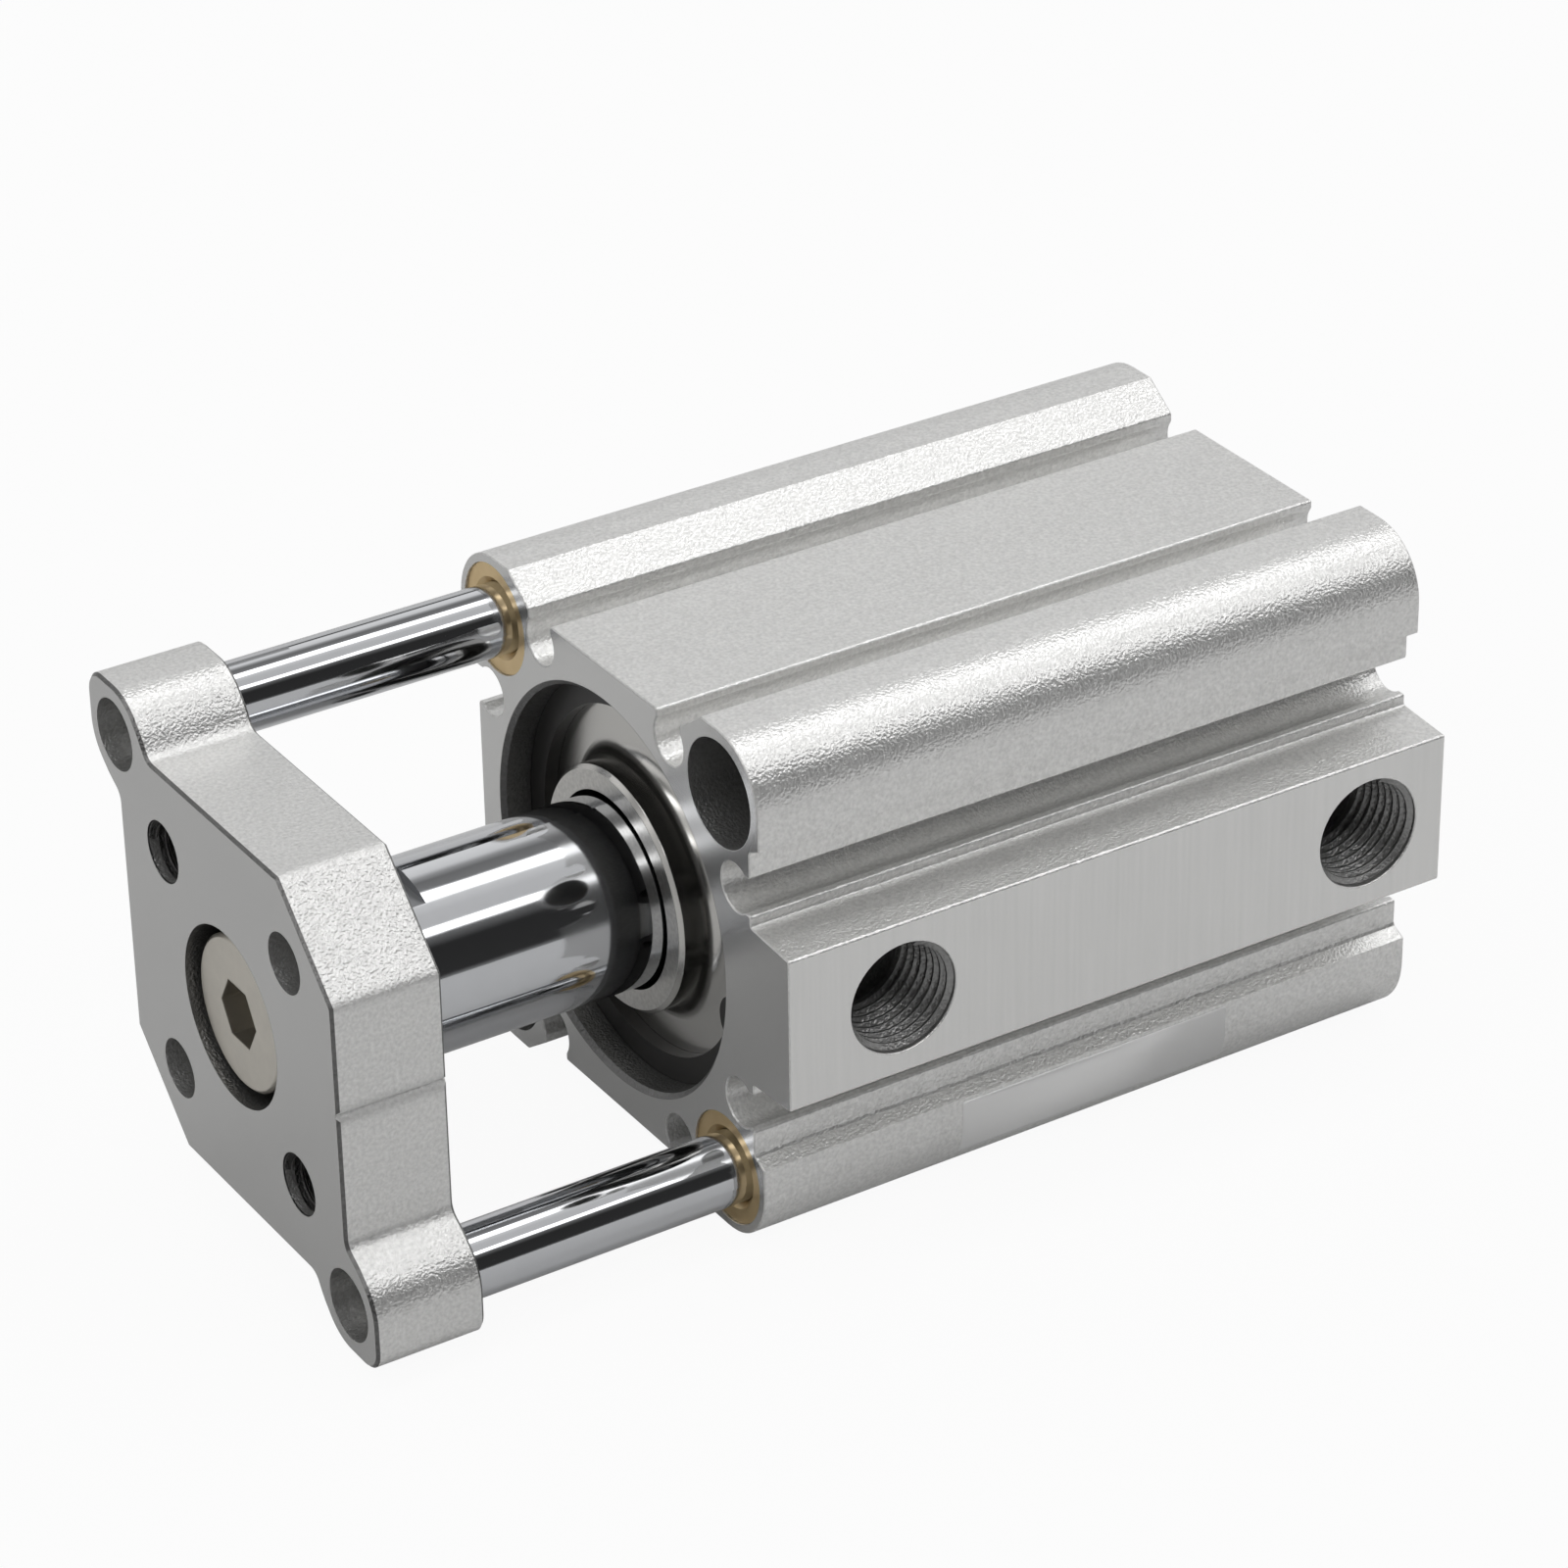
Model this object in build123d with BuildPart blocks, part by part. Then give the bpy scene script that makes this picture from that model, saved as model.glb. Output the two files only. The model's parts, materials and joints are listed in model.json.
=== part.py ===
from build123d import *
from math import sqrt
import os

# Guided pneumatic cylinder: an extruded barrel, a piston on a chromed rod, and an end plate that
# two guide rods keep from turning. All sizes are in millimetres.
# +X is the way the rod comes out, +Y is the side with the ports and +Z is up.
# The origin is the middle of the barrel's rear face. The rod stands part of the way out at rest.

os.makedirs("parts", exist_ok=True)

# Stroke and rest position
stroke = 30.0
rest_extension = 18.0
end_play = 0.25
retracted_gap = 6.6

# Named clearances, all radial unless they say otherwise
running_clearance = 0.03
seat_clearance = 0.03
seal_clearance = 0.04
piston_clearance = 0.08
screw_clearance = 0.05
screw_hole_clearance = 0.2
flat_gap = 0.05

# Barrel section, seen along X
bore_radius = 16.0
mounting_pitch = 34.0
lug_radius = 5.5
plain_face = 20.25
plain_foot = 11.3
plain_shoulder = 14.5
port_side_face = 21.15
port_side_foot = 13.5
port_side_shoulder = 16.4
port_face = 26.5
port_block_root = 7.15
port_block_top = 6.75
section_corner = 0.25
switch_groove_radius = 2.1
switch_groove_opening = 3.3
switch_groove_sink = 2.0
switch_groove_offset = 9.75

# Barrel ends and covers
cover_seat_step = 1.0
mouth_chamfer = 0.4
rear_cover_length = 6.0
rod_cover_nose = 3.5
rod_cover_nose_radius = 13.0
rod_cover_rim = 4.6
ring_thickness = 1.2
ring_groove_depth = 1.0
front_lip = 2.7
end_edge_break = 0.1
o_ring_section = 1.6
o_ring_groove_width = 2.3

# Holes in the barrel
mounting_hole_radius = 2.75
counterbore_radius = 4.5
counterbore_depth = 7.0
port_radius = 4.8
port_depth = 8.0
port_countersink = 0.1
countersink_angle = 90.0
port_passage_radius = 1.4
rear_port_setback = 1.5
front_port_setback = 2.0

# Rod, rod bush and rod seal
rod_radius = 8.0
hub_radius = 10.4
hub_height = 3.65
hub_root_fillet = 1.6
hub_lip_gap = 0.35
hub_chamfer = 0.35
rod_bush_wall = 1.2
rod_bush_length = 4.3
rod_seal_width = 2.3
rod_seal_height = 2.8
seal_land = 0.6
rod_end_chamfer = 0.6
wrench_flat_size = 14.0
wrench_flat_length = 6.0

# Retaining ring
ring_band = 3.2
ring_gap_angle = 46.0
ring_gap_direction = 0.0
ring_ear_radius = 2.3
ring_ear_inset = 0.15
ring_ear_hole_radius = 0.9

# Piston
piston_body_length = 12.9
bumper_stand = 0.8
bumper_recess = 1.6
bumper_web = 0.8
bumper_rod_gap = 0.6
rod_step = 3.0
rivet_inset = 1.6
rivet_thickness = 1.5
rivet_recess_inset = 0.6
rivet_recess_depth = 2.5
piston_groove_depth = 3.4
magnet_width = 2.6
magnet_wall = 2.6
piston_seal_width = 3.0
wear_ring_width = 2.6
wear_ring_thickness = 1.5
groove_side_gap = 0.05

# End plate
plate_thickness = 9.4
plate_margin = 0.1
plate_corner_cut = 7.6
ear_half_side = 4.3
ear_facet_start = 2.1
ear_facet_end = 1.8
ear_neck = 5.4
ear_corner_radius = 2.2
ear_side_radius = 4.5
ear_neck_fillet = 1.2
plate_edge_chamfer = 0.25
reference_groove = 0.9
plate_pattern_diameter = 28.0
plate_thread_radius = 2.5
plate_thread_countersink = 0.1
plate_plain_radius = 2.5
rod_seat_depth = 1.0

# Screw that holds the end plate on the rod, with a low head
screw_head_chamfer = 0.3
plate_screw_radius = 4.0
plate_screw_head_radius = 6.5
plate_screw_head_height = 5.0
plate_screw_head_sink = 0.7
plate_screw_length = 16.0
plate_screw_key = 5.0
plate_screw_key_depth = 2.8
plate_counterbore_gap = 1.0

# Guide rods, their bushes and screws
guide_rod_radius = 3.0
guide_seat_depth = 2.0
guide_tail_chamfer = 0.8
guide_tail_margin = 1.0
guide_bush_wall = 1.72
guide_bush_length = 12.0
guide_bush_spacing = 4.0
guide_bush_recess = 0.2
guide_bush_chamfer = 0.5
guide_tail_clearance = 0.3
guide_screw_radius = 1.5
guide_screw_head_radius = 2.75
guide_screw_head_height = 3.0
guide_screw_head_sink = 2.2
guide_screw_length = 9.0
guide_screw_key = 2.5
guide_screw_key_depth = 1.5
guide_counterbore_gap = 0.25
thread_runout = 1.0

# Places along X, worked out from the sizes above
piston_length = piston_body_length + 2 * bumper_stand
nose_x = rear_cover_length + end_play + piston_length + stroke + end_play
shoulder_x = nose_x + rod_cover_nose
rim_x = shoulder_x + rod_cover_rim
hub_x = rim_x + hub_height
barrel_length = rim_x + ring_thickness + front_lip
rear_port_x = rear_cover_length + rear_port_setback
front_port_x = shoulder_x - front_port_setback
plate_back_x = barrel_length + retracted_gap + rest_extension
plate_front_x = plate_back_x + plate_thickness
piston_rear_x = rear_cover_length + end_play + rest_extension + bumper_stand
piston_front_x = piston_rear_x + piston_body_length
rod_front_x = plate_back_x + rod_seat_depth
guide_front_x = plate_back_x + guide_seat_depth
guide_tail_x = rest_extension + guide_tail_margin

# Places across the section
hole_place = mounting_pitch / 2
envelope_half = hole_place + lug_radius
cover_seat_radius = bore_radius + cover_seat_step
ring_groove_radius = cover_seat_radius + ring_groove_depth
guide_bush_inner_radius = guide_rod_radius + running_clearance
guide_bush_radius = guide_bush_inner_radius + guide_bush_wall
rod_bush_radius = rod_radius + running_clearance + rod_bush_wall
piston_radius = bore_radius - piston_clearance
piston_bore_radius = rod_radius - rod_step
rivet_radius = rod_radius - rivet_inset
rivet_recess_radius = rod_radius - rivet_recess_inset
groove_bottom_radius = bore_radius - piston_groove_depth
bumper_inner = rod_radius + bumper_rod_gap
bumper_outer = groove_bottom_radius - bumper_web
plate_half_side = hole_place + plate_margin
plate_hole_place = plate_pattern_diameter / 2 / sqrt(2)
upper_guide = (-hole_place, hole_place)
lower_guide = (hole_place, -hole_place)


def lug_channel(face, foot, shoulder):
    """Cut what lies between two lugs on the +Y side of the section, down to the given face."""
    outside = envelope_half + lug_radius
    Polygon(
        (face, -foot), (face, foot), (envelope_half, shoulder), (outside, shoulder),
        (outside, -shoulder), (envelope_half, -shoulder),
        align=None, mode=Mode.SUBTRACT,
    )


def switch_grooves(face):
    """Cut the two round-bottomed sensor grooves on the +Y side of the section."""
    centre = face - switch_groove_sink
    with Locations((centre, switch_groove_offset), (centre, -switch_groove_offset)):
        Circle(switch_groove_radius, mode=Mode.SUBTRACT)
        Rectangle(
            2 * switch_groove_sink, switch_groove_opening,
            align=(Align.MIN, Align.CENTER), mode=Mode.SUBTRACT,
        )


def turned_ring(label, x, width, inner, outer):
    """A plain turned ring round the cylinder's axis, with its rear face at x."""
    with BuildPart() as ring:
        with BuildSketch(Plane.XZ):
            with Locations((x, inner)):
                Rectangle(width, outer - inner, align=Align.MIN)
        revolve(axis=Axis.X)
    ring.part.label = label
    export_step(ring.part, f"parts/{label}.step")


def o_ring(label, x, groove_bottom):
    """A round-section seal ring that lies in a cover's groove, centred at x."""
    with BuildPart() as seal:
        with BuildSketch(Plane.XZ):
            with Locations((x, groove_bottom + seal_clearance + o_ring_section / 2)):
                Circle(o_ring_section / 2)
        revolve(axis=Axis.X)
    seal.part.label = label
    export_step(seal.part, f"parts/{label}.step")


# Cylinder tube: an aluminium extrusion with four lugs at its corners, sensor grooves between
# them and a raised strip for the ports, bored right through and faced at both ends.
with BuildPart() as cylinder_tube:
    with BuildSketch(Plane.YZ) as section:
        RectangleRounded(2 * envelope_half, 2 * envelope_half, lug_radius)
        with PolarLocations(0, 3, start_angle=90, angular_range=180, endpoint=True):
            lug_channel(plain_face, plain_foot, plain_shoulder)
        lug_channel(port_side_face, port_side_foot, port_side_shoulder)
        Polygon(
            (cover_seat_radius, -port_block_root), (port_side_face, -port_block_root),
            (port_face, -port_block_top), (port_face, port_block_top),
            (port_side_face, port_block_root), (cover_seat_radius, port_block_root),
            align=None,
        )
        with PolarLocations(0, 3, start_angle=90, angular_range=180, endpoint=True):
            switch_grooves(plain_face)
        switch_grooves(port_side_face)
        corners = [
            corner for corner in section.vertices()
            if max(abs(corner.X), abs(corner.Y)) < envelope_half - section_corner
            or min(abs(corner.X), abs(corner.Y)) < hole_place - section_corner
        ]
        fillet(corners, section_corner)
    extrude(amount=barrel_length)
    chamfer(cylinder_tube.faces().filter_by(Axis.X).edges(), end_edge_break)

    # the bore, the two cover seats, the ring groove and the chamfered mouths, in one turning cut
    with BuildSketch(Plane.XZ):
        with BuildLine():
            Polyline(
                (0, 0), (0, cover_seat_radius + mouth_chamfer), (mouth_chamfer, cover_seat_radius),
                (rear_cover_length, cover_seat_radius), (rear_cover_length, bore_radius),
                (shoulder_x, bore_radius), (shoulder_x, cover_seat_radius),
                (rim_x, cover_seat_radius), (rim_x, ring_groove_radius),
                (rim_x + ring_thickness + flat_gap, ring_groove_radius),
                (rim_x + ring_thickness + flat_gap, cover_seat_radius),
                (barrel_length - mouth_chamfer, cover_seat_radius),
                (barrel_length, cover_seat_radius + mouth_chamfer), (barrel_length, 0),
                close=True,
            )
        make_face()
    revolve(axis=Axis.X, mode=Mode.SUBTRACT)

    # two through holes for the mounting screws, and two long bores for the guide bushes
    with Locations(Plane.YZ.offset(barrel_length)):
        with Locations((hole_place, hole_place), (-hole_place, -hole_place)):
            CounterBoreHole(mounting_hole_radius, counterbore_radius, counterbore_depth)
        with Locations(upper_guide, lower_guide):
            CounterBoreHole(
                guide_rod_radius + guide_tail_clearance, guide_bush_radius + seat_clearance,
                2 * guide_bush_length + guide_bush_spacing + guide_bush_recess,
            )

    # the two ports, each with a small passage into the bore
    for port_x in (rear_port_x, front_port_x):
        with Locations(Plane((port_x, port_face, 0), x_dir=(1, 0, 0), z_dir=(0, 1, 0))):
            CounterSinkHole(
                port_radius, port_radius + port_countersink, port_depth, countersink_angle
            )
            Hole(port_passage_radius, depth=port_face - bore_radius + port_passage_radius)
cylinder_tube.part.label = "cylinder_tube"
export_step(cylinder_tube.part, "parts/cylinder_tube.step")

# Rod cover: a turned aluminium collar. Its flat front backs on the retaining ring and has a hub
# round the rod, and its nose leaves room for the air behind the front port.
cover_radius = cover_seat_radius - seat_clearance
cover_groove_x = (shoulder_x + rim_x) / 2
cover_groove_bottom = cover_seat_radius - o_ring_section - 2 * seal_clearance
seal_front_x = rim_x - seal_land
seal_rear_x = seal_front_x - rod_seal_width
lip_radius = rod_radius + hub_lip_gap
with BuildPart() as rod_cover:
    with BuildSketch(Plane.XZ):
        with BuildLine():
            Polyline(
                (rim_x + hub_root_fillet, hub_radius), (hub_x - hub_chamfer, hub_radius),
                (hub_x, hub_radius - hub_chamfer), (hub_x, lip_radius),
                (seal_front_x, lip_radius), (seal_front_x, rod_radius + rod_seal_height),
                (seal_rear_x, rod_radius + rod_seal_height), (seal_rear_x, lip_radius),
                (nose_x + rod_bush_length, lip_radius),
                (nose_x + rod_bush_length, rod_bush_radius), (nose_x, rod_bush_radius),
                (nose_x, rod_cover_nose_radius), (shoulder_x, rod_cover_nose_radius),
                (shoulder_x, cover_radius),
                (cover_groove_x - o_ring_groove_width / 2, cover_radius),
                (cover_groove_x - o_ring_groove_width / 2, cover_groove_bottom),
                (cover_groove_x + o_ring_groove_width / 2, cover_groove_bottom),
                (cover_groove_x + o_ring_groove_width / 2, cover_radius),
                (rim_x, cover_radius), (rim_x, hub_radius + hub_root_fillet),
            )
            TangentArc(
                (rim_x, hub_radius + hub_root_fillet), (rim_x + hub_root_fillet, hub_radius),
                tangent=(0, -1),
            )
        make_face()
    revolve(axis=Axis.X)
rod_cover.part.label = "rod_cover"
export_step(rod_cover.part, "parts/rod_cover.step")

# Rear cover: a plain aluminium plug, flush with the barrel's rear face.
rear_groove_x = rear_cover_length / 2
with BuildPart() as rear_cover:
    with BuildSketch(Plane.XZ):
        Rectangle(rear_cover_length, cover_radius, align=Align.MIN)
        with Locations((rear_groove_x, cover_groove_bottom)):
            Rectangle(
                o_ring_groove_width, cover_radius - cover_groove_bottom,
                align=(Align.CENTER, Align.MIN), mode=Mode.SUBTRACT,
            )
    revolve(axis=Axis.X)
    rear_rim = rear_cover.edges().filter_by(GeomType.CIRCLE).sort_by(Axis.X)[0]
    chamfer(rear_rim, mouth_chamfer)
rear_cover.part.label = "rear_cover"
export_step(rear_cover.part, "parts/rear_cover.step")

o_ring("rod_cover_o_ring", cover_groove_x, cover_groove_bottom)
o_ring("rear_cover_o_ring", rear_groove_x, cover_groove_bottom)

# Rod bush: a short bearing ring pressed into the rod cover's nose.
turned_ring(
    "rod_bush", nose_x, rod_bush_length - flat_gap,
    rod_radius + running_clearance, rod_bush_radius - seat_clearance,
)

# Rod seal: a rubber ring in the cover, with a lip round the rod.
turned_ring(
    "rod_seal", seal_rear_x + groove_side_gap, rod_seal_width - 2 * groove_side_gap,
    rod_radius + seal_clearance, rod_radius + rod_seal_height - seal_clearance,
)

# Retaining ring: a flat spring-steel ring, open on one side, with an ear and a plier hole at
# each end. It snaps into the groove in front of the rod cover.
ring_outer = ring_groove_radius - seat_clearance
ring_first_end = ring_gap_direction - ring_gap_angle / 2
ring_last_end = ring_gap_direction + ring_gap_angle / 2
with BuildPart() as retaining_ring:
    with BuildSketch(Plane.YZ.offset(rim_x + flat_gap / 2)):
        Circle(ring_outer)
        Circle(ring_outer - ring_band, mode=Mode.SUBTRACT)
        with BuildLine():
            gap_edge = PolarLine((0, 0), 2 * ring_outer, ring_first_end)
            other_edge = PolarLine((0, 0), 2 * ring_outer, ring_last_end)
            Line(gap_edge @ 1, other_edge @ 1)
        make_face(mode=Mode.SUBTRACT)
        with PolarLocations(
            ring_outer - ring_ear_radius - ring_ear_inset, 2, ring_first_end, ring_gap_angle,
            endpoint=True,
        ):
            Circle(ring_ear_radius)
            Circle(ring_ear_hole_radius, mode=Mode.SUBTRACT)
    extrude(amount=ring_thickness)
retaining_ring.part.label = "retaining_ring"
export_step(retaining_ring.part, "parts/retaining_ring.step")

# Piston: a turned aluminium disc with grooves for the magnet, the seal and the wear ring, a
# recess in each face for a bumper, and a deeper one at the back for the rod's riveted end.
groove_widths = (magnet_width, piston_seal_width, wear_ring_width)
groove_bottoms = (
    groove_bottom_radius, groove_bottom_radius, bore_radius - seal_clearance - wear_ring_thickness
)
piston_land = (piston_body_length - sum(groove_widths)) / (len(groove_widths) + 1)
groove_xs = []
next_x = piston_rear_x + piston_land
for width in groove_widths:
    groove_xs.append(next_x)
    next_x += width + piston_land
with BuildPart() as piston:
    with BuildSketch(Plane.XZ):
        with Locations((piston_rear_x, piston_bore_radius)):
            Rectangle(
                piston_body_length, piston_radius - piston_bore_radius, align=Align.MIN
            )
            Rectangle(
                rivet_recess_depth, rivet_recess_radius - piston_bore_radius,
                align=Align.MIN, mode=Mode.SUBTRACT,
            )
        with Locations(
            (piston_rear_x, bumper_inner), (piston_front_x - bumper_recess, bumper_inner)
        ):
            Rectangle(
                bumper_recess, bumper_outer - bumper_inner, align=Align.MIN, mode=Mode.SUBTRACT
            )
        for groove_x, width, bottom in zip(groove_xs, groove_widths, groove_bottoms):
            with Locations((groove_x, bottom)):
                Rectangle(width, bore_radius - bottom, align=Align.MIN, mode=Mode.SUBTRACT)
    revolve(axis=Axis.X)
piston.part.label = "piston"
export_step(piston.part, "parts/piston.step")

# What the piston carries: the magnet for the sensors, the rubber seal, the plastic wear ring
# and a urethane bumper in each face.
piston_rings = (
    ("piston_magnet", groove_bottom_radius + magnet_wall),
    ("piston_seal", bore_radius - seal_clearance),
    ("wear_ring", bore_radius - seal_clearance),
)
for (label, outer), groove_x, width, bottom in zip(
    piston_rings, groove_xs, groove_widths, groove_bottoms
):
    turned_ring(
        label, groove_x + groove_side_gap, width - 2 * groove_side_gap,
        bottom + seat_clearance, outer,
    )
for label, bumper_x in (
    ("rear_bumper", piston_rear_x - bumper_stand),
    ("front_bumper", piston_front_x - bumper_recess),
):
    turned_ring(
        label, bumper_x, bumper_recess + bumper_stand,
        bumper_inner + seat_clearance, bumper_outer - seat_clearance,
    )

# Piston rod: hard-chromed steel, riveted over behind the piston, with two wrench flats and a
# tapped hole at its front end.
rivet_x = piston_rear_x + rivet_recess_depth - rivet_thickness
plate_screw_seat_x = plate_front_x - plate_screw_head_sink - plate_screw_head_height
with BuildPart() as piston_rod:
    with BuildSketch(Plane.XZ):
        with BuildLine():
            Polyline(
                (rivet_x, 0), (rivet_x, rivet_radius),
                (rivet_x + rivet_thickness, rivet_radius),
                (rivet_x + rivet_thickness, piston_bore_radius - seat_clearance),
                (piston_front_x, piston_bore_radius - seat_clearance),
                (piston_front_x, rod_radius), (rod_front_x - rod_end_chamfer, rod_radius),
                (rod_front_x, rod_radius - rod_end_chamfer), (rod_front_x, 0), close=True,
            )
        make_face()
    revolve(axis=Axis.X)
    with BuildSketch(Plane.YZ.offset(rod_front_x)):
        Circle(2 * rod_radius)
        Rectangle(4 * rod_radius, wrench_flat_size, mode=Mode.SUBTRACT)
    extrude(amount=-wrench_flat_length - rod_seat_depth, mode=Mode.SUBTRACT)
    with Locations(Plane.YZ.offset(rod_front_x)):
        Hole(
            plate_screw_radius + screw_clearance,
            depth=plate_screw_length + thread_runout - (plate_screw_seat_x - rod_front_x),
        )
piston_rod.part.label = "piston_rod"
export_step(piston_rod.part, "parts/piston_rod.step")

# End plate: cut from an aluminium bar, square with two corners cut off and a rounded ear on each
# of the other two. It is tapped and drilled for the load, and screwed to the rod and guide rods.
ear_outside = hole_place + ear_half_side
ear_inside = hole_place - ear_half_side
facet_start = hole_place - ear_facet_start
facet_end = hole_place + ear_facet_end
neck = hole_place - ear_neck
neck_reach = hole_place + ear_facet_end / 2
guide_screw_seat_x = plate_front_x - guide_screw_head_sink - guide_screw_head_height
with BuildPart() as end_plate:
    with BuildSketch(Plane.YZ.offset(plate_back_x)) as outline:
        Rectangle(2 * plate_half_side, 2 * plate_half_side)
        cut_corners = [corner for corner in outline.vertices() if corner.X * corner.Y > 0]
        chamfer(cut_corners, plate_corner_cut)
        with PolarLocations(0, 2):
            Polygon(
                (neck, -neck), (neck, -plate_half_side), (ear_inside, -facet_end),
                (facet_start, -ear_outside), (ear_outside, -ear_outside),
                (ear_outside, -facet_start), (facet_end, -ear_inside), (plate_half_side, -neck),
                align=None,
            )
        corners = [corner for corner in outline.vertices() if corner.X * corner.Y < 0]
        fillet(
            [corner for corner in corners if min(abs(corner.X), abs(corner.Y)) > hole_place],
            ear_corner_radius,
        )
        corners = [corner for corner in outline.vertices() if corner.X * corner.Y < 0]
        fillet(
            [corner for corner in corners if max(abs(corner.X), abs(corner.Y)) < neck_reach],
            ear_neck_fillet,
        )
        corners = [corner for corner in outline.vertices() if corner.X * corner.Y < 0]
        fillet(
            [
                corner for corner in corners if max(abs(corner.X), abs(corner.Y)) > neck_reach
                and min(abs(corner.X), abs(corner.Y)) < hole_place
            ],
            ear_side_radius,
        )
    extrude(amount=plate_thickness)
    end_faces = end_plate.faces().filter_by(Axis.X)
    chamfer(end_faces.edges(), plate_edge_chamfer)
    with BuildSketch(Plane.YZ.offset(plate_back_x)):
        Polygon(
            (plate_half_side, -reference_groove / 2), (plate_half_side, reference_groove / 2),
            (plate_half_side - reference_groove / 2, 0), align=None,
        )
    extrude(amount=plate_thickness, mode=Mode.SUBTRACT)
    with BuildSketch(Plane.YZ.offset(plate_back_x)):
        Circle(rod_radius + seat_clearance)
    extrude(amount=rod_seat_depth, mode=Mode.SUBTRACT)
    with BuildSketch(Plane.YZ.offset(plate_back_x)):
        with Locations(upper_guide, lower_guide):
            Circle(guide_rod_radius + seat_clearance)
    extrude(amount=guide_seat_depth, mode=Mode.SUBTRACT)
    with Locations(Plane.YZ.offset(plate_front_x)):
        CounterBoreHole(
            plate_screw_radius + screw_hole_clearance,
            plate_screw_head_radius + plate_counterbore_gap,
            plate_front_x - plate_screw_seat_x,
        )
        with Locations(upper_guide, lower_guide):
            CounterBoreHole(
                guide_screw_radius + screw_hole_clearance,
                guide_screw_head_radius + guide_counterbore_gap,
                plate_front_x - guide_screw_seat_x,
            )
        with Locations(
            (-plate_hole_place, plate_hole_place), (plate_hole_place, -plate_hole_place)
        ):
            CounterSinkHole(
                plate_thread_radius, plate_thread_radius + plate_thread_countersink,
                counter_sink_angle=countersink_angle,
            )
        with Locations(
            (plate_hole_place, plate_hole_place), (-plate_hole_place, -plate_hole_place)
        ):
            Hole(plate_plain_radius)
end_plate.part.label = "end_plate"
export_step(end_plate.part, "parts/end_plate.step")


def socket_screw(label, seat, radius, length, head_radius, head_height, key, key_depth):
    """A screw with a hexagon socket, its head's underside at the seat and its shank towards -X."""
    with BuildPart() as screw:
        with BuildSketch(Plane(seat, x_dir=(0, 1, 0), z_dir=(1, 0, 0))):
            Circle(head_radius)
        extrude(amount=head_height)
        rim = screw.edges().filter_by(GeomType.CIRCLE).sort_by(Axis.X)[-1]
        chamfer(rim, screw_head_chamfer)
        top = Plane(seat, x_dir=(0, 1, 0), z_dir=(1, 0, 0)).offset(head_height)
        with BuildSketch(top):
            RegularPolygon(key / 2, 6, major_radius=False)
        extrude(amount=-key_depth, mode=Mode.SUBTRACT)
        with BuildSketch(Plane(seat, x_dir=(0, 1, 0), z_dir=(1, 0, 0))):
            Circle(radius)
        extrude(amount=-length)
    screw.part.label = label
    export_step(screw.part, f"parts/{label}.step")


socket_screw(
    "end_plate_screw", (plate_screw_seat_x, 0, 0), plate_screw_radius, plate_screw_length,
    plate_screw_head_radius, plate_screw_head_height, plate_screw_key, plate_screw_key_depth,
)

# The two guide sets. Each has a hard-chromed rod with a tapped end in the plate, the screw that
# holds it there, and two bronze bushes pressed into the barrel's long bore.
front_bush_x = barrel_length - guide_bush_recess - guide_bush_length
inner_bush_x = front_bush_x - guide_bush_spacing - guide_bush_length
for side, (guide_y, guide_z) in (("upper", upper_guide), ("lower", lower_guide)):
    rod_label = f"guide_rod_{side}"
    with BuildPart() as guide_rod:
        with BuildSketch(Plane((guide_tail_x, guide_y, guide_z), x_dir=(0, 1, 0), z_dir=(1, 0, 0))):
            Circle(guide_rod_radius)
        extrude(amount=guide_front_x - guide_tail_x)
        tail = guide_rod.edges().filter_by(GeomType.CIRCLE).sort_by(Axis.X)[0]
        chamfer(tail, guide_tail_chamfer)
        with Locations(Plane((guide_front_x, guide_y, guide_z), x_dir=(0, 1, 0), z_dir=(1, 0, 0))):
            Hole(
                guide_screw_radius + screw_clearance,
                depth=guide_screw_length + thread_runout - (guide_screw_seat_x - guide_front_x),
            )
    guide_rod.part.label = rod_label
    export_step(guide_rod.part, f"parts/{rod_label}.step")

    socket_screw(
        f"guide_screw_{side}", (guide_screw_seat_x, guide_y, guide_z), guide_screw_radius,
        guide_screw_length, guide_screw_head_radius, guide_screw_head_height,
        guide_screw_key, guide_screw_key_depth,
    )

    for depth, bush_x in (("front", front_bush_x), ("inner", inner_bush_x)):
        bush_label = f"guide_bush_{side}_{depth}"
        with BuildPart() as guide_bush:
            with BuildSketch(Plane((bush_x, guide_y, guide_z), x_dir=(0, 1, 0), z_dir=(1, 0, 0))):
                Circle(guide_bush_radius)
                Circle(guide_bush_inner_radius, mode=Mode.SUBTRACT)
            extrude(amount=guide_bush_length)
            mouth = guide_bush.edges().filter_by(GeomType.CIRCLE).sort_by(SortBy.LENGTH)[:2]
            chamfer(mouth.sort_by(Axis.X)[-1], guide_bush_chamfer)
        guide_bush.part.label = bush_label
        export_step(guide_bush.part, f"parts/{bush_label}.step")
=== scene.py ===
import json
from math import pi, radians, sqrt

import bmesh
import bpy
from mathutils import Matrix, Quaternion, Vector


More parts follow.
